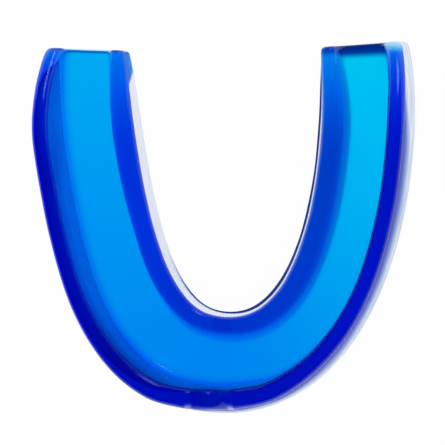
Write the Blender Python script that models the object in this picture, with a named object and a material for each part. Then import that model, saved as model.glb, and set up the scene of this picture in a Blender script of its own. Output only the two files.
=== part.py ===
"""Mouthguard: a U-shaped bite tray, moulded in one piece from translucent blue EVA.

The channel for the teeth opens upwards, the front teeth's end points to -Y, and the flat underside
rests on Z = 0. Sizes are in metres.
"""

from bisect import bisect_right
from math import acos, atan2, cos, hypot, pi, radians, sin, sqrt, tan

import bmesh
import bpy
from mathutils import Vector
from mathutils.geometry import interpolate_bezier

# Plan of the arch: its centreline is one Bezier curve from the front point to the end of a limb
ARCH_HALF_WIDTH = 0.0233
ARCH_LENGTH = 0.0508
FRONT_HANDLE = 0.0170
SIDE_HANDLE = 0.0274
SIDE_HANDLE_LEAN = 0.0009

# Base: half width from the centreline and the rounding of its lower edges. The front is a little wider
HALF_WIDTH = 0.0076
OUTER_FRONT_EXTRA = 0.0006
INNER_FRONT_EXTRA = 0.0003
FRONT_REACH = 0.0260
BASE_EDGE_RADIUS = 0.0008

# Floor: it thins evenly from the front to the ends of the limbs, with an easy passage at the front
FRONT_FLOOR_THICKNESS = 0.0031
END_FLOOR_THICKNESS = 0.0015
FLOOR_EASING = 0.0060

# Outer wall, on the lip and cheek side. At the front it is thicker and its flank leans back
OUTER_WALL_HEIGHT = 0.0125
OUTER_WALL_THICKNESS = 0.0027
OUTER_FRONT_THICKENING = 0.0006
OUTER_FRONT_SETBACK = 0.0010
OUTER_FILLET = 0.0014
OUTER_FOOT_GAP = 0.0003
OUTER_END_SETBACK = 0.0006

# Inner wall, on the tongue side. It is lower and thicker. At the front it is a little thinner, and
# its channel side slopes more
INNER_WALL_HEIGHT = 0.0066
INNER_WALL_THICKNESS = 0.0037
INNER_FRONT_THINNING = 0.0004
INNER_SETBACK = 0.0002
INNER_FRONT_SETBACK = 0.0001
INNER_FILLET = 0.0006
INNER_FOOT_GAP = 0.0005
INNER_FRONT_SLOPE = 0.0003

# Notch in the outer rim for the fold under the upper lip
NOTCH_WIDTH = 0.0066
NOTCH_DEPTH = 0.0022
NOTCH_MARGIN = 1.2

# Ends of the limbs: the walls run down to a low rim, both flanks turn in and the edges are rounded
END_RIM_HEIGHT = 0.0038
RAMP_LENGTH = 0.0155
OUTER_END_TURN_IN = 0.0015
INNER_END_TURN_IN = 0.0006
END_TURN_LENGTH = 0.0160
END_EDGE_RADIUS = 0.0007
END_SLANT = radians(5)

# Mesh resolution
RIM_STEPS = 8
EDGE_STEPS = 4
NOTCH_STEPS = 6
LIMB_STEPS = 18
TURN_STEPS = 11
ROUNDING_STEPS = 3
CURVE_SAMPLES = 400

# Finish
TRAY_COLOUR = (0.0, 0.10, 0.62, 1.0)
TRAY_ROUGHNESS = 0.12
TRAY_TRANSMISSION = 0.6
EVA_IOR = 1.48


def clear_scene():
    for obj in list(bpy.data.objects):
        bpy.data.objects.remove(obj, do_unlink=True)


def arch_curve():
    """Points of the right half of the centreline, and each one's distance from the front point."""
    front = Vector((0, 0))
    front_handle = Vector((FRONT_HANDLE, 0))
    side_handle = Vector((ARCH_HALF_WIDTH - SIDE_HANDLE_LEAN, ARCH_LENGTH - SIDE_HANDLE))
    end = Vector((ARCH_HALF_WIDTH, ARCH_LENGTH))
    points = interpolate_bezier(front, front_handle, side_handle, end, CURVE_SAMPLES)
    distances = [0.0]
    for before, after in zip(points, points[1:]):
        distances.append(distances[-1] + (after - before).length)
    return points, distances


def place_on_arch(curve, distance):
    """The point at a signed distance along the arch, and the direction out of the arch there."""
    points, distances = curve
    along = min(abs(distance), distances[-1])
    index = min(bisect_right(distances, along), len(points) - 1)
    before, after = points[index - 1], points[index]
    share = (along - distances[index - 1]) / (distances[index] - distances[index - 1])
    point = before.lerp(after, share)
    forward = (after - before).normalized()
    outward = Vector((forward.y, -forward.x))
    if distance == 0:
        outward = Vector((0, -1))
    if distance < 0:
        point.x = -point.x
        outward.x = -outward.x
    return point, outward


def tangent_angle(first, second):
    """Angle of the outward normal of the straight line that touches two corner circles in turn."""
    (centre, radius), (next_centre, next_radius) = first, second
    step_n = next_centre[0] - centre[0]
    step_z = next_centre[1] - centre[1]
    return atan2(step_z, step_n) - acos((radius - next_radius) / hypot(step_n, step_z))


def rounded_outline(corners, inset):
    """Closed outline round the corner circles. A concave corner has a negative radius."""
    circles = [(centre, radius - inset) for centre, radius, _ in corners]
    normals = [tangent_angle(circles[i - 1], circles[i]) for i in range(len(circles))]
    outline = []
    for i, (_, whole_radius, steps) in enumerate(corners):
        centre, radius = circles[i]
        start = normals[i]
        turn = (normals[(i + 1) % len(corners)] - start) % (2 * pi)
        if whole_radius < 0:
            turn -= 2 * pi
        for step in range(steps + 1):
            angle = start + turn * step / steps
            outline.append((centre[0] + radius * cos(angle), centre[1] + radius * sin(angle)))
    return outline


def ramp_share(from_end):
    """1 along the arch, running down to 0 at the end of a limb."""
    return sin(min(from_end / RAMP_LENGTH, 1) * pi / 2)


def rim_height(full_height, from_end):
    return END_RIM_HEIGHT + (full_height - END_RIM_HEIGHT) * ramp_share(from_end)


def floor_thickness(distance, half_length):
    share = (hypot(distance, FLOOR_EASING) - FLOOR_EASING) / (
        hypot(half_length, FLOOR_EASING) - FLOOR_EASING
    )
    return FRONT_FLOOR_THICKNESS + (END_FLOOR_THICKNESS - FRONT_FLOOR_THICKNESS) * share


def notch_drop(distance):
    if abs(distance) >= NOTCH_WIDTH / 2:
        return 0.0
    return NOTCH_DEPTH * cos(pi * distance / NOTCH_WIDTH) ** 2


def front_share(distance):
    """1 at the front point, falling to 0 where the front passes into the limbs."""
    return (1 + cos(pi * min(abs(distance) / FRONT_REACH, 1))) / 2


def turn_share(from_end):
    """How far the flanks have turned in, from 0 to 1 along a quarter of an ellipse up to the end."""
    share = max(1 - from_end / END_TURN_LENGTH, 0)
    return 1 - sqrt(1 - min(share, 1) ** 2)


def wall_circles(edge, setback, top, thickness, fillet, gap, floor):
    """(centre, radius) of one wall's rim and of the fillet at its foot, for a tray edge at `edge`."""
    rim = thickness / 2
    foot = min(fillet, (top - floor) / 2)
    rim_place = edge - setback - rim
    foot_place = rim_place - rim - foot - gap
    return ((rim_place, top - rim), rim), ((foot_place, floor + foot), foot)


def mirrored(place):
    return -place[0], place[1]


def section(distance, half_length, inset):
    """Outline of the tray across the arch: (outward, up) pairs around base, walls and channel."""
    from_end = half_length - abs(distance)
    front = front_share(distance)
    turned = turn_share(from_end)
    floor = floor_thickness(distance, half_length)
    outer_edge = HALF_WIDTH + OUTER_FRONT_EXTRA * front - OUTER_END_TURN_IN * turned
    inner_edge = HALF_WIDTH + INNER_FRONT_EXTRA * front - INNER_END_TURN_IN * turned
    outer_rim, outer_foot = wall_circles(
        outer_edge,
        OUTER_FRONT_SETBACK * front + OUTER_END_SETBACK * (1 - ramp_share(from_end)),
        rim_height(OUTER_WALL_HEIGHT, from_end) - notch_drop(distance),
        OUTER_WALL_THICKNESS + OUTER_FRONT_THICKENING * front,
        OUTER_FILLET,
        OUTER_FOOT_GAP,
        floor,
    )
    inner_rim, inner_foot = wall_circles(
        inner_edge,
        INNER_SETBACK + INNER_FRONT_SETBACK * front,
        rim_height(INNER_WALL_HEIGHT, from_end),
        INNER_WALL_THICKNESS - INNER_FRONT_THINNING * front,
        INNER_FILLET,
        INNER_FOOT_GAP + INNER_FRONT_SLOPE * front,
        floor,
    )
    edge = BASE_EDGE_RADIUS
    corners = [
        ((outer_edge - edge, edge), edge, EDGE_STEPS),
        (*outer_rim, RIM_STEPS),
        (outer_foot[0], -outer_foot[1], EDGE_STEPS),
        (mirrored(inner_foot[0]), -inner_foot[1], EDGE_STEPS),
        (mirrored(inner_rim[0]), inner_rim[1], RIM_STEPS),
        ((edge - inner_edge, edge), edge, EDGE_STEPS),
    ]
    return rounded_outline(corners, inset)


def stations(half_length):
    """(distance, inset) of each section from the front point to the end of a limb."""
    notch_end = NOTCH_WIDTH / 2 * NOTCH_MARGIN
    turn_start = half_length - END_TURN_LENGTH
    last = half_length - END_EDGE_RADIUS
    listed = [(notch_end * step / NOTCH_STEPS, 0) for step in range(NOTCH_STEPS)]
    listed += [
        (notch_end + (turn_start - notch_end) * step / LIMB_STEPS, 0) for step in range(LIMB_STEPS)
    ]
    listed += [
        (turn_start + (last - turn_start) * sin(pi / 2 * step / TURN_STEPS), 0)
        for step in range(TURN_STEPS)
    ]
    for step in range(ROUNDING_STEPS + 1):
        angle = pi / 2 * step / ROUNDING_STEPS
        listed.append((last + END_EDGE_RADIUS * sin(angle), END_EDGE_RADIUS * (1 - cos(angle))))
    return listed


def ring_points(curve, distance, inset):
    """The section's outline set across the arch. Close to its end the section leans to the slant."""
    half_length = curve[1][-1]
    point, outward = place_on_arch(curve, distance)
    from_end = half_length - abs(distance)
    slant = tan(END_SLANT) * max(1 - from_end / END_TURN_LENGTH, 0)
    ring = []
    for offset, height in section(distance, half_length, inset):
        plan = point + outward * offset
        ring.append(Vector((plan.x, plan.y + offset * slant, height)))
    return ring


def skin(bm, rings):
    """Closed surface through the rings, with a flat face across each end."""
    loops = [[bm.verts.new(point) for point in ring] for ring in rings]
    count = len(loops[0])
    for ring, following in zip(loops, loops[1:]):
        for i in range(count):
            j = (i + 1) % count
            bm.faces.new((ring[i], ring[j], following[j], following[i]))
    bm.faces.new(loops[0])
    bm.faces.new(reversed(loops[-1]))
    bmesh.ops.recalc_face_normals(bm, faces=bm.faces)


def centre_in_plan(bm):
    """Puts the origin under the middle of the tray's outline."""
    ys = [vert.co.y for vert in bm.verts]
    bmesh.ops.translate(bm, verts=bm.verts, vec=(0, -(min(ys) + max(ys)) / 2, 0))


def eva_material():
    material = bpy.data.materials.new("translucent_blue_eva")
    material.use_nodes = True
    shader = material.node_tree.nodes["Principled BSDF"]
    shader.inputs["Base Color"].default_value = TRAY_COLOUR
    shader.inputs["Roughness"].default_value = TRAY_ROUGHNESS
    shader.inputs["Metallic"].default_value = 0.0
    shader.inputs["IOR"].default_value = EVA_IOR
    shader.inputs["Transmission Weight"].default_value = TRAY_TRANSMISSION
    material.diffuse_color = TRAY_COLOUR
    return material


def build_mouthguard():
    curve = arch_curve()
    right_half = stations(curve[1][-1])
    left_half = [(-distance, inset) for distance, inset in reversed(right_half[1:])]
    rings = [ring_points(curve, distance, inset) for distance, inset in left_half + right_half]

    bm = bmesh.new()
    skin(bm, rings)
    centre_in_plan(bm)
    for face in bm.faces:
        face.smooth = len(face.verts) == 4
    mesh = bpy.data.meshes.new("mouthguard")
    bm.to_mesh(mesh)
    bm.free()
    mesh.materials.append(eva_material())

    mouthguard = bpy.data.objects.new("mouthguard", mesh)
    bpy.context.scene.collection.objects.link(mouthguard)


clear_scene()
build_mouthguard()
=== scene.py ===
from math import radians, sin, cos, pi

import bpy
from mathutils import Matrix, Vector


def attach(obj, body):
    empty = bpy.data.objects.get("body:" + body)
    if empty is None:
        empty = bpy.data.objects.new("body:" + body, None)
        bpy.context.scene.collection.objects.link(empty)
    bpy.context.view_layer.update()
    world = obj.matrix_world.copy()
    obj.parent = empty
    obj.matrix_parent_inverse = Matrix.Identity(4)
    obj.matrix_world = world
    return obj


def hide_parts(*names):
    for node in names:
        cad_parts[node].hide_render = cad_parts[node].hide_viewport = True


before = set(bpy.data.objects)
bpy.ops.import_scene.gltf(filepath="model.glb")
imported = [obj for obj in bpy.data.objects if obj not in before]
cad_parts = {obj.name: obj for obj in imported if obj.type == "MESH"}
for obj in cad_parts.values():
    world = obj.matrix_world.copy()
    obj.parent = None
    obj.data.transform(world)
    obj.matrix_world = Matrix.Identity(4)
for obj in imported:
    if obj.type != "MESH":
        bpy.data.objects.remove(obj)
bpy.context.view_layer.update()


# ---------------------------------------------------------------------------------------------
# Tray: the mouthguard itself, a U-shaped bite tray of translucent blue EVA, injected in one piece.
# A floor joins a tall outer wall to a lower inner wall; both run down to low rims at the ends.
# The flanks and underside keep the matt, lightly drawn skin of the mould; the channel is glossy.
# ---------------------------------------------------------------------------------------------

TRAY_SIZES = {  # metres, and an angle in radians
    "arch half width": 0.0233,
    "arch length": 0.0508,
    "front handle": 0.0170,
    "side handle": 0.0274,
    "side handle lean": 0.0009,
    "half width": 0.0076,
    "outer front extra": 0.0006,
    "inner front extra": 0.0003,
    "front reach": 0.0260,
    "base edge radius": 0.0008,
    "front floor thickness": 0.0031,
    "end floor thickness": 0.0015,
    "floor easing": 0.0060,
    "outer wall height": 0.0125,
    "outer wall thickness": 0.0027,
    "outer front thickening": 0.0006,
    "outer front setback": 0.0010,
    "outer fillet": 0.0014,
    "outer foot gap": 0.0003,
    "outer end setback": 0.0006,
    "inner wall height": 0.0066,
    "inner edge extra": 0.0003,
    "inner wall thickness": 0.00325,
    "inner limb thickening": 0.00045,
    "inner front thinning": 0.0007,
    "inner end thinning": 0.0012,
    "inner setback": 0.0002,
    "right inner setback": 0.0011,
    "inner front setback": 0.0001,
    "inner fillet": 0.0006,
    "inner foot gap": 0.0005,
    "inner front slope": 0.00095,
    "notch width": 0.0066,
    "notch depth": 0.0022,
    "notch setback": 0.0004,
    "end rim height": 0.0038,
    "ramp length": 0.0155,
    "outer end turn in": 0.0015,
    "inner end turn in": 0.0006,
    "end turn length": 0.0160,
    "end edge radius": 0.0007,
    "end slant": radians(5),
    "sideways bow": -0.00091,
    "mould waviness": 0.00006,
}
SECTIONS_PER_LIMB = 240
SECTIONS_ROUND_END = 10
POINTS_PER_CORNER = 24
POINTS_ROUND_CORNER = 14
# The section's corners in turn, each with the straight run that follows it
OUTER_BASE, OUTER_RIM, OUTER_FOOT, INNER_FOOT, INNER_RIM, INNER_BASE = range(6)
CORNERS = 6

# Metres along the arch (left limb negative), from the ends or of height: where each feature of the
# tray's form, finish, painted shade or painted highlights starts and where it is full, and then how
# much it counts
REACH = {
    "right limb thickens": (-0.006, 0.020, 1),
    "left limb thickens": (-0.028, -0.042, 1),
    "notch sets the rim back": (0.0075, 0.0030, 1),
    "left end's deep channel side": (-0.036, -0.046, 0.60),
    "left limb's clean foot": (-0.012, -0.026, 1),
    # Painted shade: the dark line along the foot of the flanks
    "foot line widens": (-0.010, 0.015, 0.0022),
    "outer foot line": (0.0011, 0.0007, 0.5),
    # The pale flank skin, partly a painted reflection of the white table
    "outer skin's top lowers": (0.018, 0.008, -0.0025),
    "outer skin's foot rises": (0.018, 0.008, 0.0055),
    # Painted shade on the walls: darker rims and notch, for the long path of light through the
    # walls
    "rims ease off": (0.042, 0.060, 0.8),
    "rims deepen": (0.0032, 0.0065, 1),
    "notch is deeper": (0.0028, 0.0020, 0.15),
    "notch deepens": (0.0050, 0.0080, 1),
    "right limb is greener": (-0.005, 0.040, 0.27),
    "less blue past the left limb": (-0.030, -0.005, 0.20),
    "less blue on the right limb": (0.020, 0.035, 0.06),
    "less blue at the front": (0.024, 0.010, 0.14),
    # Painted shade and painted highlights at the ends: dark bands, lines and outlines, a pale bevel
    # and cap; then the pale notch corners
    "low enough for the floor": (0.0030, 0.0022, 1),
    "end outline": (0.0006, 0.0003, 1),
    "right end's band": (0.0025, 0.0012, 1),
    "right end's darkest": (0.0013, 0.0005, 0.6),
    "right end's corner": (0.0034, 0.0026, 0.8),
    "right end's cap": (0.0020, 0.0002, 0.7),
    "left end's band": (0.0008, 0.00052, 1),
    "left end's line": (0.0002, 0.0004, 0.85),
    "left end's bevel": (0.0003, 0.0001, 1),
    "notch corner": (0.0006, 0.0002, 1),
    "notch corner's height": (0.0080, 0.0090, 1),
}
CLOSER_AT_ENDS = 0.6  # share of the spacing between sections that narrows toward the ends
NOTCH_CORNER_FROM_MIDDLE = 0.0025
BOW_STARTS = 0.0047
BOW_IS_FULL_AFTER = 0.025
WAVES_PER_METRE = 160.0
FLAT_BELOW = 0.001

# Shares of a section's straight run, or of the way round the section
RUN_STARTS = 0.001
CREST_FADE = 0.35
FRONT_CREST_REACHES_ON = 0.45
INNER_CREST_STARTS = 0.40
OUTER_SHOULDER = (0.205, 0.180)

EVA_IOR = 1.48
ABSORBED_PER_METRE = (5000.0, 330.0, 12.0)  # red, green, blue
# Pale flank skin and pale marks: partly a real matt skin, partly painted reflection and painted
# highlights
PALE_SKIN_AND_GLINT_COLOUR = (0.96, 0.955, 0.985, 1.0)
PALE_SKIN_AND_GLINT_TRANSMISSION = 0.02
GLOSS_TINT = (0.30, 0.45, 0.90, 1.0)
LEFT_LIMB_GREEN = 0.73
# Painted shade on the walls: what the rims lose of green and blue, and the outer flank's share
RIM_SHADE_GREEN_LOSS = 0.8
RIM_SHADE_BLUE_LOSS = 0.28
OUTER_FLANK_SHADE = 0.7
# Painted shade: what the dark lines and bands at the ends and the feet take away
DARK_GREEN_LOSS = 0.93
DARK_BLUE_LOSS = 0.6
DARKEST_LOSS = 0.7
ROUGHNESS = {
    "gloss": 0.05,
    "grain": 0.04,
    "rims": 0.10,
    "flanks": 0.45,
    "underside": 0.35,
    "foot line": 0.5,
}

FADE = 0.0008
FOOT_LINE_HEIGHT = 0.0021
OUTER_SKIN_FOOT, OUTER_SKIN_TOP = 0.0010, 0.0135
INNER_SKIN_STARTS, INNER_SKIN_SLOPE = 0.0026, 1.3
# Painted reflection of the white table along the base edge, palest on the left limb
BASE_EDGE_TOP = 0.001
OUTER_BASE_EDGE, PALEST_BASE_EDGE = 0.6, 0.9
# How much the painted highlights, the painted base-edge reflection and the notch marks pale the
# surface
PALE_MARKS = 0.85
STREAKY = {  # least share of a pale mark, and what a streak adds to it
    "outer skin": (0.72, 0.35),
    "inner skin": (0.93, 0.07),
    "notch corner": (0.40, 0.50),
}
STREAKS_PER_METRE = {"along": 120.0, "up": 1600.0}
STREAK_CONTRAST = (0.3, 0.7)
GRAINS_PER_METRE = 900.0
GRAIN_IN_BUMP = 0.3


def feed(slot, value):
    """Gives a node's input either a plain value or another node's result."""
    if isinstance(value, Measure):
        slot.id_data.links.new(value.socket, slot)
    else:
        slot.default_value = value


class Measure:
    """A length, share or angle inside a node tree. Adding or scaling it lays the math nodes."""

    def __init__(self, socket):
        self.socket = socket

    def worked(self, operation, *others):
        node = self.socket.id_data.nodes.new("ShaderNodeMath")
        node.operation = operation
        for slot, value in zip(node.inputs, (self, *others)):
            feed(slot, value)
        return Measure(node.outputs[0])

    def __add__(self, other):
        return self.worked("ADD", other)

    def __sub__(self, other):
        return self.worked("SUBTRACT", other)

    def __mul__(self, other):
        return self.worked("MULTIPLY", other)

    def __truediv__(self, other):
        return self.worked("DIVIDE", other)

    def __mod__(self, other):
        return self.worked("FLOORED_MODULO", other)

    def __neg__(self):
        return self * -1

    def rest_of(self, whole):
        """What is left of `whole` once this is taken away."""
        return -self + whole

    def is_whole(self, number):
        """1 where a count is this number."""
        return (self - number).size().below(0.5)

    def no_more_than(self, other):
        return self.worked("MINIMUM", other)

    def no_less_than(self, other):
        return self.worked("MAXIMUM", other)

    def sine(self):
        return self.worked("SINE")

    def cosine(self):
        return self.worked("COSINE")

    def squared(self):
        return self * self

    def root(self):
        return self.worked("SQRT")

    def size(self):
        return self.worked("ABSOLUTE")

    def below(self, other):
        return self.worked("LESS_THAN", other)

    def above(self, other):
        return self.worked("GREATER_THAN", other)

    def within(self, feature):
        """0 where a feature starts and, where it is full, as much as it counts."""
        start, end, amount = REACH[feature]
        return self.between(start, end) * amount

    def between(self, start, end):
        """0 at `start` and 1 at `end`, with an easy passage, whichever of them is the larger."""
        node = self.socket.id_data.nodes.new("ShaderNodeMapRange")
        node.interpolation_type = "SMOOTHSTEP"
        feed(node.inputs["Value"], self)
        feed(node.inputs["From Min"], start)
        feed(node.inputs["From Max"], end)
        return Measure(node.outputs["Result"])


def parts_of(vector):
    """The three parts of a vector socket, each as a measure."""
    node = vector.id_data.nodes.new("ShaderNodeSeparateXYZ")
    vector.id_data.links.new(vector, node.inputs[0])
    return [Measure(output) for output in node.outputs]


def joined(tree, x, y, z):
    """A vector socket made of three measures."""
    node = tree.nodes.new("ShaderNodeCombineXYZ")
    for slot, value in zip(node.inputs, (x, y, z)):
        feed(slot, value)
    return node.outputs[0]


def add_node(tree, kind, settings=(), **inputs):
    """A node with its settings made and its named inputs fed."""
    node = tree.nodes.new(kind)
    for name, value in dict(settings).items():
        setattr(node, name, value)
    for name, value in inputs.items():
        slot = node.inputs[name.replace("_", " ")]
        if isinstance(value, bpy.types.NodeSocket):
            tree.links.new(value, slot)
        else:
            feed(slot, value)
    return node


def touching_angle(first, following):
    """Angle of the outward normal of the straight line that touches two corner circles in turn."""
    step_out = following[0] - first[0]
    step_up = following[1] - first[1]
    apart = (step_out.squared() + step_up.squared()).root()
    lean = ((first[2] - following[2]) / apart).worked("ARCCOSINE")
    return step_up.worked("ARCTAN2", step_out) - lean


def wall_circles(edge, setback, top, thickness, fillet, gap, floor):
    """(out, up, radius) of a wall's rim and of the fillet at its foot."""
    rim = thickness / 2
    foot = fillet.no_more_than((top - floor) / 2)
    rim_out = edge - setback - rim
    return (rim_out, top - rim, rim), (rim_out - rim - foot - gap, floor + foot, foot)


def centreline(tree, size):
    """Curve of the right half, from the front point to the end of the limb."""
    return add_node(
        tree,
        "GeometryNodeCurvePrimitiveBezierSegment",
        Resolution=400,
        Start=(0, 0, 0),
        Start_Handle=joined(tree, size["front handle"], 0.0, 0.0),
        End_Handle=joined(
            tree,
            size["arch half width"] - size["side handle lean"],
            size["arch length"] - size["side handle"],
            0.0,
        ),
        End=joined(tree, size["arch half width"], size["arch length"], 0.0),
    ).outputs[0]


def raw_tube(tree, rings, points_round):
    """A tube of plain rings, closed at both ends, whose points are set in their places later."""
    line = add_node(tree, "GeometryNodeCurvePrimitiveLine").outputs[0]
    spine = add_node(tree, "GeometryNodeResampleCurve", Curve=line, Count=rings).outputs[0]
    hoop = add_node(tree, "GeometryNodeCurvePrimitiveCircle", Resolution=points_round, Radius=0.1)
    tube = add_node(
        tree, "GeometryNodeCurveToMesh", Curve=spine, Profile_Curve=hoop.outputs[0], Fill_Caps=True
    ).outputs[0]
    return add_node(tree, "GeometryNodeFlipFaces", Mesh=tube).outputs[0]


def section_corners(size, distance, side, from_end, half_length):
    """(out, up, radius) of the six corner circles of the section at a distance along a limb."""
    front = ((distance / size["front reach"]).no_more_than(1) * pi).cosine() * 0.5 + 0.5
    turning = (from_end / size["end turn length"]).rest_of(1).no_less_than(0).no_more_than(1)
    turned = turning.squared().rest_of(1).no_less_than(0).root().rest_of(1)
    ramp = ((from_end / size["ramp length"]).no_more_than(1) * (pi / 2)).sine()
    ramped = ramp.rest_of(1)
    right_limb = (distance * side).within("right limb thickens")
    left_limb = (distance * side).within("left limb thickens")

    # The floor is a wedge, thick at the front
    easing, front_floor = size["floor easing"], size["front floor thickness"]
    wedge = (distance.squared() + easing.squared()).root() - easing
    whole_wedge = (half_length.squared() + easing.squared()).root() - easing
    floor = front_floor + (size["end floor thickness"] - front_floor) * (wedge / whole_wedge)

    low_rim = size["end rim height"]
    notch_angle = (distance / size["notch width"]).no_more_than(0.5) * pi
    notch = size["notch depth"] * notch_angle.cosine().squared()
    outer_edge = size["half width"] + size["outer front extra"] * front
    outer_edge = outer_edge - size["outer end turn in"] * turned
    outer_rim, outer_foot = wall_circles(
        outer_edge,
        size["outer front setback"] * front
        + size["outer end setback"] * ramped
        + size["notch setback"] * distance.within("notch sets the rim back"),
        low_rim + (size["outer wall height"] - low_rim) * ramp - notch,
        size["outer wall thickness"] + size["outer front thickening"] * front,
        size["outer fillet"],
        size["outer foot gap"],
        floor,
    )
    inner_edge = size["half width"] + size["inner front extra"] * front
    inner_edge = inner_edge - size["inner end turn in"] * turned + size["inner edge extra"]
    inner_rim, inner_foot = wall_circles(
        inner_edge,
        size["inner setback"]
        + size["inner front setback"] * front
        + size["right inner setback"] * right_limb * ramp,
        low_rim + (size["inner wall height"] - low_rim) * ramp,
        size["inner wall thickness"]
        + size["inner limb thickening"] * (right_limb + left_limb)
        - size["inner front thinning"] * front
        - size["inner end thinning"] * ramped,
        size["inner fillet"],
        size["inner foot gap"] + size["inner front slope"] * front,
        floor,
    )
    edge = size["base edge radius"]
    return front, [
        (outer_edge - edge, edge, edge),
        outer_rim,
        (outer_foot[0], outer_foot[1], -outer_foot[2]),
        (-inner_foot[0], inner_foot[1], -inner_foot[2]),
        (-inner_rim[0], inner_rim[1], inner_rim[2]),
        (edge - inner_edge, edge, edge),
    ]


def place_on_section(tree, circles, place):
    """Where a ring's point stands on the section: its corner, share of the run, out and up."""
    corner = ((place + 0.5) / POINTS_PER_CORNER).worked("FLOOR")
    step = place - corner * POINTS_PER_CORNER
    round_share = (step / (POINTS_ROUND_CORNER - 1)).no_more_than(1)
    run_steps = POINTS_PER_CORNER - POINTS_ROUND_CORNER + 1
    run_share = (step - (POINTS_ROUND_CORNER - 1)).no_less_than(0) / run_steps
    run_share = (run_share * pi).cosine() * -0.5 + 0.5

    def looked_up(which):
        node = tree.nodes.new("GeometryNodeIndexSwitch")
        node.data_type = "VECTOR"
        while len(node.index_switch_items) < CORNERS:
            node.index_switch_items.new()
        feed(node.inputs[0], which)
        for slot, circle in zip(node.inputs[1 : CORNERS + 1], circles):
            tree.links.new(circle, slot)
        return parts_of(node.outputs[0])

    before = looked_up((corner + (CORNERS - 1)) % CORNERS)
    here = looked_up(corner)
    after = looked_up((corner + 1) % CORNERS)
    start = touching_angle(before, here)
    leave = touching_angle(here, after)
    turn = (leave - start) % (2 * pi) - here[2].below(0) * (2 * pi)
    angle = start + turn * round_share
    round_out = here[0] + here[2] * angle.cosine()
    round_up = here[1] + here[2] * angle.sine()
    next_out = after[0] + after[2] * leave.cosine()
    next_up = after[1] + after[2] * leave.sine()
    out = round_out + (next_out - round_out) * run_share
    up = round_up + (next_up - round_up) * run_share
    return corner, run_share, out, up


def surface_facts(corner, run_share, front, way):
    """Shares, stored with the mesh, that tell the finish which part of the section this is."""
    on_run = run_share.above(RUN_STARTS)
    base_corner = corner.is_whole(OUTER_BASE) + corner.is_whole(INNER_BASE)
    deeper = way.within("left end's deep channel side") + front * FRONT_CREST_REACHES_ON
    down_the_channel = run_share.between(deeper + CREST_FADE, deeper * 0.5)
    up_from_channel = run_share.between(INNER_CREST_STARTS, 1.0)
    return {
        "outer_side": corner.below(OUTER_BASE + 0.5) * on_run,
        "inner_side": corner.is_whole(INNER_RIM) * on_run,
        "underside": corner.is_whole(INNER_BASE) * on_run,
        "base_edge": base_corner * on_run.rest_of(1),
        "crest": corner.is_whole(OUTER_RIM) * down_the_channel
        + corner.is_whole(OUTER_BASE) * on_run
        + corner.is_whole(INNER_FOOT) * up_from_channel
        + corner.is_whole(INNER_RIM),
    }


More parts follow.
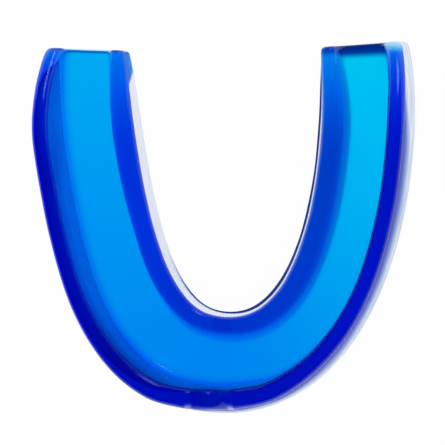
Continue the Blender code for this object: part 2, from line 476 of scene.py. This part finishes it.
def tray_tree():
    """Node tree of the tray: a ring of points is carried along the arch, and each point is then
    set on the rounded outline of the section at its place."""
    tree = bpy.data.node_groups.new("tray_along_arch", "GeometryNodeTree")
    tree.interface.new_socket("Tray", in_out="OUTPUT", socket_type="NodeSocketGeometry")
    for name in TRAY_SIZES:
        tree.interface.new_socket(name, in_out="INPUT", socket_type="NodeSocketFloat")
    tree.interface.new_socket("skin", in_out="INPUT", socket_type="NodeSocketMaterial")
    entry = tree.nodes.new("NodeGroupInput")
    size = {name: Measure(entry.outputs[name]) for name in TRAY_SIZES}
    arch = centreline(tree, size)
    half_length = Measure(add_node(tree, "GeometryNodeCurveLength", Curve=arch).outputs[0])

    rings = 2 * (SECTIONS_PER_LIMB + SECTIONS_ROUND_END) + 1
    points_round = CORNERS * POINTS_PER_CORNER
    tube = raw_tube(tree, rings, points_round)
    index = Measure(tree.nodes.new("GeometryNodeInputIndex").outputs[0])
    ring = (index / points_round + 0.5 / points_round).worked("FLOOR")
    place = index - ring * points_round

    # Where each ring stands: evenly along the limb, then closer together round the end
    from_front = ring - (rings - 1) / 2
    side = (from_front + 0.5).worked("SIGN")
    steps = from_front.size()
    along_share = (steps / SECTIONS_PER_LIMB).no_more_than(1)
    narrowing = (along_share * (pi / 2)).sine() * CLOSER_AT_ENDS
    eased = along_share * (1 - CLOSER_AT_ENDS) + narrowing
    round_angle = (steps - SECTIONS_PER_LIMB).no_less_than(0) * (pi / 2 / SECTIONS_ROUND_END)
    end_radius = size["end edge radius"]
    distance = eased * (half_length - end_radius) + round_angle.sine() * end_radius
    inset = end_radius - round_angle.cosine() * end_radius
    from_end = half_length - distance

    front, corners = section_corners(size, distance, side, from_end, half_length)
    circles = [joined(tree, out, up, radius - inset) for out, up, radius in corners]
    corner, run_share, out, up = place_on_section(tree, circles, place)

    # From the section to its place on the arch
    walk = add_node(
        tree, "GeometryNodeSampleCurve", {"mode": "LENGTH"}, Curves=arch, Length=distance
    )
    centre = parts_of(walk.outputs["Position"])
    forward = parts_of(walk.outputs["Tangent"])
    near_end = (from_end / size["end turn length"]).rest_of(1).no_less_than(0)
    slant = size["end slant"].worked("TANGENT") * near_end
    set_x = side * (centre[0] + forward[1] * out)
    set_y = centre[1] - forward[0] * out + out * slant
    swept = add_node(
        tree, "GeometryNodeSetPosition", Geometry=tube, Position=joined(tree, set_x, set_y, up)
    ).outputs[0]

    facts = surface_facts(corner, run_share, front, distance * side)
    facts.update(along=distance * side, from_end=from_end, round=place / points_round)
    for name, value in facts.items():
        swept = add_node(
            tree,
            "GeometryNodeStoreNamedAttribute",
            {"data_type": "FLOAT", "domain": "POINT"},
            Geometry=swept,
            Name=name,
            Value=value,
        ).outputs[0]

    # The origin goes under the middle of the outline; then the slight lean of the real moulding
    box = add_node(tree, "GeometryNodeBoundBox", Geometry=swept)
    lowest, highest = parts_of(box.outputs["Min"]), parts_of(box.outputs["Max"])
    to_middle = joined(tree, 0.0, (lowest[1] + highest[1]) * -0.5, 0.0)
    swept = add_node(tree, "GeometryNodeSetPosition", Geometry=swept, Offset=to_middle).outputs[0]
    here_now = tree.nodes.new("GeometryNodeInputPosition").outputs[0]
    bowed = (parts_of(here_now)[1] - BOW_STARTS) / BOW_IS_FULL_AFTER
    lean = size["sideways bow"] * bowed.squared()
    cloud = add_node(tree, "ShaderNodeTexNoise", Vector=here_now, Scale=WAVES_PER_METRE, Detail=1.0)
    wave = parts_of(cloud.outputs["Color"])
    clear_of_table = (up / FLAT_BELOW).no_more_than(1)
    swell = [(part - 0.5) * size["mould waviness"] * 2 for part in wave]
    drift = joined(tree, lean + swell[0], swell[1], swell[2] * clear_of_table)
    swept = add_node(tree, "GeometryNodeSetPosition", Geometry=swept, Offset=drift).outputs[0]

    smooth = add_node(tree, "GeometryNodeSetShadeSmooth", Geometry=swept).outputs[0]
    plain = add_node(tree, "GeometryNodeRealizeInstances", Geometry=smooth).outputs[0]
    skin = entry.outputs["skin"]
    coated = add_node(tree, "GeometryNodeSetMaterial", Geometry=plain, Material=skin)
    leaving_node = tree.nodes.new("NodeGroupOutput")
    tree.links.new(coated.outputs[0], leaving_node.inputs[0])
    return tree


class Skin:
    """What the finish knows of a place on the tray: the stored shares, its height and noises."""

    def __init__(self, tree):
        for name in ("outer_side", "inner_side", "underside", "base_edge", "crest"):
            setattr(self, name, self.stored(tree, name))
        self.along = self.stored(tree, "along")
        self.from_end = self.stored(tree, "from_end")
        round_section = self.stored(tree, "round")
        at = add_node(tree, "ShaderNodeTexCoord").outputs["Object"]
        self.height = parts_of(at)[2]
        self.right = self.along.above(0)
        self.left = self.right.rest_of(1)
        self.inner_half = round_section.above(0.5)
        self.outer_half = round_section.below(0.5)
        self.on_outer_shoulder = round_section.between(*OUTER_SHOULDER)
        self.left_limb = self.along.within("left limb's clean foot")
        inside = Measure(add_node(tree, "ShaderNodeNewGeometry").outputs["Backfacing"])
        self.outside = inside.rest_of(1)
        # Streaks drawn along the flanks: long along the arch, fine up the side
        drawn_along = self.along * STREAKS_PER_METRE["along"]
        drawn = joined(tree, drawn_along, self.height * STREAKS_PER_METRE["up"], round_section)
        streaks = add_node(
            tree, "ShaderNodeTexNoise", Vector=drawn, Scale=1.0, Detail=4.0, Roughness=0.6
        )
        self.streak = Measure(streaks.outputs["Fac"]).between(*STREAK_CONTRAST)
        grains = add_node(tree, "ShaderNodeTexNoise", Vector=at, Scale=GRAINS_PER_METRE, Detail=3.0)
        self.grain = Measure(grains.outputs["Fac"])

    @staticmethod
    def stored(tree, name):
        fact = add_node(tree, "ShaderNodeAttribute", {"attribute_name": name})
        return Measure(fact.outputs["Fac"])

    def streaky(self, mark):
        """Share of a pale mark that shows. The drawn streaks raise it."""
        least, more = STREAKY[mark]
        return self.streak * more + least


def foot_shade_line(skin):
    """The dark line along the foot of the flanks, painted shade where the base edge meets the
    table.
    The left limb's inner flank has none.
    """
    top = skin.along.within("foot line widens") + FOOT_LINE_HEIGHT
    inner = skin.inner_side * skin.height.between(top, top - FADE) * skin.left_limb.rest_of(1)
    return inner + skin.outer_side * skin.height.within("outer foot line")


def flank_skin_and_reflection(skin):
    """The pale skin of the flanks: streaky and fading upward outside, even inside. It is partly a
    real matt skin and partly a painted reflection of the white table at grazing angles.
    """
    top = skin.from_end.within("outer skin's top lowers") + OUTER_SKIN_TOP
    foot = skin.from_end.within("outer skin's foot rises") + OUTER_SKIN_FOOT
    outer = skin.outer_side * skin.height.between(top, foot) * skin.streaky("outer skin")
    # The inner flank's pale skin, partly a painted reflection, starts a little way from the end and
    # rises from the base
    top = (skin.from_end - INNER_SKIN_STARTS) * INNER_SKIN_SLOPE
    inner = skin.inner_side * skin.streaky("inner skin") * skin.height.between(top, top - FADE)
    return (outer + inner).no_more_than(1)


def rim_painted_shade(skin):
    """How much the walls are darkened beyond the channel: painted shade for the long path of light
    up through the tall walls, deepest at the rims, also at the notch and on the outer flank. It
    eases off at the ends.
    """
    end_loss = skin.along.size().within("rims ease off")
    rims = skin.height.within("rims deepen") * skin.crest * end_loss.rest_of(1)
    notch = skin.along.size().within("notch is deeper") * skin.height.within("notch deepens")
    return rims.no_less_than(skin.outer_side * OUTER_FLANK_SHADE) + notch


def tint_and_rim_shade(skin, rim_shade_share):
    """Green and blue that the surface lets through, varying along the arch: the front and the left
    limb are deeper. The painted rim shade darkens both further.
    """
    green = skin.along.within("right limb is greener") + LEFT_LIMB_GREEN
    green = green * (rim_shade_share * RIM_SHADE_GREEN_LOSS).rest_of(1)
    blue_loss = skin.along.within("less blue past the left limb")
    blue_loss = blue_loss + skin.along.within("less blue on the right limb")
    at_front = skin.along.size().within("less blue at the front") * skin.outer_half
    blue = (rim_shade_share * (blue_loss + at_front + RIM_SHADE_BLUE_LOSS)).rest_of(1)
    return green, blue


def shade_glints_and_pale_marks(skin, line):
    """(dark, darkest, pale) at the ends and edges. Painted shade: a dark band on the right limb's
    floor, a dark line on the left one's, dark outlines round the ends and a dark patch on the inner
    flank at
    the right end. Painted highlights: a pale bevel on the left end and a pale cap on the right one.
    Pale corners at the notch, and a painted reflection of the white table along the base edge."""
    low = skin.height.within("low enough for the floor")
    raised = low.rest_of(1)
    right_band = skin.right * skin.from_end.within("right end's band") * low
    left_band = skin.left * skin.from_end.within("left end's band") * low
    outlined = skin.left.no_less_than(skin.inner_half)

    dark = right_band + left_band * skin.from_end.within("left end's line")
    dark = dark.no_less_than(skin.from_end.within("end outline") * raised * outlined)
    corner = skin.inner_side * skin.right * skin.from_end.within("right end's corner")
    dark = dark.no_less_than(line).no_less_than(corner)
    darkest = line.no_less_than(right_band * skin.from_end.within("right end's darkest"))

    bevel = left_band * skin.from_end.within("left end's bevel")
    cap = skin.from_end.within("right end's cap") * raised * outlined.rest_of(1)
    from_corner = (skin.along.size() - NOTCH_CORNER_FROM_MIDDLE).size()
    notch_corner = from_corner.within("notch corner") * skin.height.within("notch corner's height")
    notch_corner = notch_corner * skin.on_outer_shoulder * skin.crest * skin.streaky("notch corner")
    base_edge = (skin.left_limb + skin.outer_half * OUTER_BASE_EDGE).no_more_than(PALEST_BASE_EDGE)
    base_edge = skin.base_edge * base_edge * skin.height.below(BASE_EDGE_TOP)
    pale = bevel.no_less_than(cap).no_less_than(notch_corner).no_less_than(base_edge)
    return dark, darkest, pale


def blue_eva():
    """Translucent blue EVA. The colour is in the body of the plastic, so it deepens with thickness.
    The channel is glossy, the flanks carry a pale skin and the underside is matt. The pale skin is
    partly a real scuffed matt skin and partly a painted reflection of the white table at grazing
    angles. Painted shade darkens the rims, the feet and the ends; painted highlights pale the ends."""
    material = bpy.data.materials.new("translucent_blue_eva")
    material.use_nodes = True
    tree = material.node_tree
    shader = tree.nodes["Principled BSDF"]
    skin = Skin(tree)
    # Painted shade: the dark line along the foot of the flanks
    line = foot_shade_line(skin)
    rim_shade_share = rim_painted_shade(skin)
    green, blue = tint_and_rim_shade(skin, rim_shade_share)
    # Painted shade: dark bands, lines and outlines at the ends; painted highlights: pale bevel and
    # cap
    dark, darkest, pale = shade_glints_and_pale_marks(skin, line)

    # Pale flank skin, partly painted reflection, with the painted highlights and pale marks over it
    pale_skin_and_glints = flank_skin_and_reflection(skin) * skin.outside * line.rest_of(1)
    pale_skin_and_glints = pale_skin_and_glints.no_less_than(pale * skin.outside * PALE_MARKS)
    unlost = (darkest * DARKEST_LOSS).rest_of(1)
    green = green * (dark * DARK_GREEN_LOSS).rest_of(1) * unlost
    blue = blue * (dark * DARK_BLUE_LOSS).rest_of(1) * unlost
    colour = add_node(tree, "ShaderNodeMix", {"data_type": "RGBA"})
    share, tinted_and_shaded, pale_skin_input = colour.inputs[0], colour.inputs[6], colour.inputs[7]
    feed(share, pale_skin_and_glints)
    tree.links.new(joined(tree, 0.0, green, blue), tinted_and_shaded)
    pale_skin_input.default_value = PALE_SKIN_AND_GLINT_COLOUR
    tree.links.new(colour.outputs[2], shader.inputs["Base Color"])
    clear = pale_skin_and_glints.rest_of(1) * (1 - PALE_SKIN_AND_GLINT_TRANSMISSION) + PALE_SKIN_AND_GLINT_TRANSMISSION
    feed(shader.inputs["Transmission Weight"], clear)

    matt_sides = skin.outer_side.no_less_than(skin.inner_side)
    rough = matt_sides * ROUGHNESS["flanks"] + skin.underside * ROUGHNESS["underside"]
    rough = rough + rim_shade_share * ROUGHNESS["rims"] + skin.grain * ROUGHNESS["grain"]
    rough = rough + line * ROUGHNESS["foot line"] + ROUGHNESS["gloss"]
    feed(shader.inputs["Roughness"], rough.no_more_than(1))
    shader.inputs["IOR"].default_value = EVA_IOR
    shader.inputs["Specular Tint"].default_value = GLOSS_TINT

    bump = add_node(tree, "ShaderNodeBump", Strength=0.08, Distance=0.0002)
    feed(bump.inputs["Height"], skin.grain * GRAIN_IN_BUMP + skin.streak * pale_skin_and_glints)
    tree.links.new(bump.outputs[0], shader.inputs["Normal"])

    red, green, blue = ABSORBED_PER_METRE
    body = add_node(tree, "ShaderNodeVolumeAbsorption", Density=red)
    body.inputs["Color"].default_value = (0.0, 1 - green / red, 1 - blue / red, 1.0)
    tree.links.new(body.outputs[0], tree.nodes["Material Output"].inputs["Volume"])
    return material


def make_tray():
    shaper = bpy.data.objects.new("tray_shaper", bpy.data.meshes.new("tray_shaper"))
    bpy.context.scene.collection.objects.link(shaper)
    rule = shaper.modifiers.new("tray_along_arch", "NODES")
    rule.node_group = tray_tree()
    values = {**TRAY_SIZES, "skin": blue_eva()}
    for item in rule.node_group.interface.items_tree:
        if item.in_out == "INPUT":
            rule[item.identifier] = values[item.name]
    depsgraph = bpy.context.evaluated_depsgraph_get()
    mesh = bpy.data.meshes.new_from_object(
        shaper.evaluated_get(depsgraph), preserve_all_data_layers=True, depsgraph=depsgraph
    )
    mesh.name = "tray"
    bpy.data.objects.remove(shaper, do_unlink=True)
    made = bpy.data.objects.new("tray", mesh)
    bpy.context.scene.collection.objects.link(made)
    return made


tray = make_tray()
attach(tray, "root")
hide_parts("mouthguard")


# ---------------------------------------------------------------------------------------------
# Table: the plain white table top that the tray lies on, with nothing fixed to it.
# It is large enough to fill every view from above, and takes the tray's shadow.
# ---------------------------------------------------------------------------------------------

TABLE_HALF = 3.0
TABLE_GAP = 0.00004
TABLE_COLOUR = (0.85, 0.85, 0.85, 1.0)
SHOWN_WHITE = 0.96


def white_background(tree, plain_colour):
    """Shader that shows as white to the eye, in gloss and through clear plastic, and otherwise
    is a plain surface that takes light and shadow."""
    path = add_node(tree, "ShaderNodeLightPath")
    seen = Measure(path.outputs["Is Camera Ray"]) + Measure(path.outputs["Is Glossy Ray"])
    seen = (seen + Measure(path.outputs["Is Transmission Ray"])).no_more_than(1)
    surface = add_node(tree, "ShaderNodeBsdfDiffuse", Color=plain_colour).outputs[0]
    white = add_node(tree, "ShaderNodeEmission", Strength=1.0).outputs[0]
    mixed = add_node(tree, "ShaderNodeMixShader")
    feed(mixed.inputs[0], seen * SHOWN_WHITE)
    tree.links.new(surface, mixed.inputs[1])
    tree.links.new(white, mixed.inputs[2])
    return mixed.outputs[0]


def make_table():
    mesh = bpy.data.meshes.new("table")
    turns = ((-1, -1), (1, -1), (1, 1), (-1, 1))
    corners = [(x * TABLE_HALF, y * TABLE_HALF, -TABLE_GAP) for x, y in turns]
    mesh.from_pydata(corners, [], [(0, 1, 2, 3)])
    material = bpy.data.materials.new("white_table")
    material.use_nodes = True
    tree = material.node_tree
    tree.nodes.remove(tree.nodes["Principled BSDF"])
    surface = white_background(tree, TABLE_COLOUR)
    tree.links.new(surface, tree.nodes["Material Output"].inputs["Surface"])
    mesh.materials.append(material)
    made = bpy.data.objects.new("table", mesh)
    bpy.context.scene.collection.objects.link(made)
    return made


make_table()


# ---------------------------------------------------------------------------------------------
# Studio: a white room that lights the tray evenly and shows through it, but isn't mirrored by it.
# A low panel behind the ends draws the streaks on the rims.
# ---------------------------------------------------------------------------------------------

PANEL_PLACE = (0.18, 0.63, 0.18)
PANEL_SIZE = 0.20
PANEL_WATTS = 0.70


def make_surroundings():
    world = bpy.data.worlds.new("studio")
    bpy.context.scene.world = world
    world.use_nodes = True
    tree = world.node_tree
    background = tree.nodes["Background"]
    background.inputs["Color"].default_value = (1.0, 1.0, 1.0, 1.0)
    path = add_node(tree, "ShaderNodeLightPath")
    seen = Measure(path.outputs["Is Camera Ray"]) + Measure(path.outputs["Is Transmission Ray"])
    feed(background.inputs["Strength"], seen + Measure(path.outputs["Is Diffuse Ray"]))


def make_panel():
    light = bpy.data.lights.new("rim_panel", "AREA")
    light.size = PANEL_SIZE
    light.energy = PANEL_WATTS
    panel = bpy.data.objects.new("rim_panel", light)
    panel.location = PANEL_PLACE
    panel.rotation_euler = (-Vector(PANEL_PLACE)).to_track_quat("-Z", "Y").to_euler()
    bpy.context.scene.collection.objects.link(panel)


make_surroundings()
make_panel()


# ---------------------------------------------------------------------------------------------
# Camera: it stands still and looks down from the right, a little past the middle of the tray.
# Its long lens keeps the two limbs nearly alike in size.
# ---------------------------------------------------------------------------------------------

CAMERA_PLACE = Vector((0.1009, 0.01874, 0.4292))
CAMERA_AIM = Vector((-0.00174, 0.00107, 0.0))
CAMERA_ROLL = radians(0.69)
FOCAL_LENGTH_MM = 221.74


def make_camera():
    back = (CAMERA_PLACE - CAMERA_AIM).normalized()
    right = Vector((sin(CAMERA_ROLL), cos(CAMERA_ROLL), 0)).cross(back).normalized()
    data = bpy.data.cameras.new("camera")
    data.lens = FOCAL_LENGTH_MM
    data.sensor_width = 36.0
    data.clip_start, data.clip_end = 0.01, 20.0
    camera = bpy.data.objects.new("camera", data)
    pose = Matrix((right, back.cross(right), back)).transposed().to_4x4()
    pose.translation = CAMERA_PLACE
    camera.matrix_world = pose
    bpy.context.scene.collection.objects.link(camera)
    bpy.context.scene.camera = camera


make_camera()
bpy.context.scene.view_settings.view_transform = "Standard"
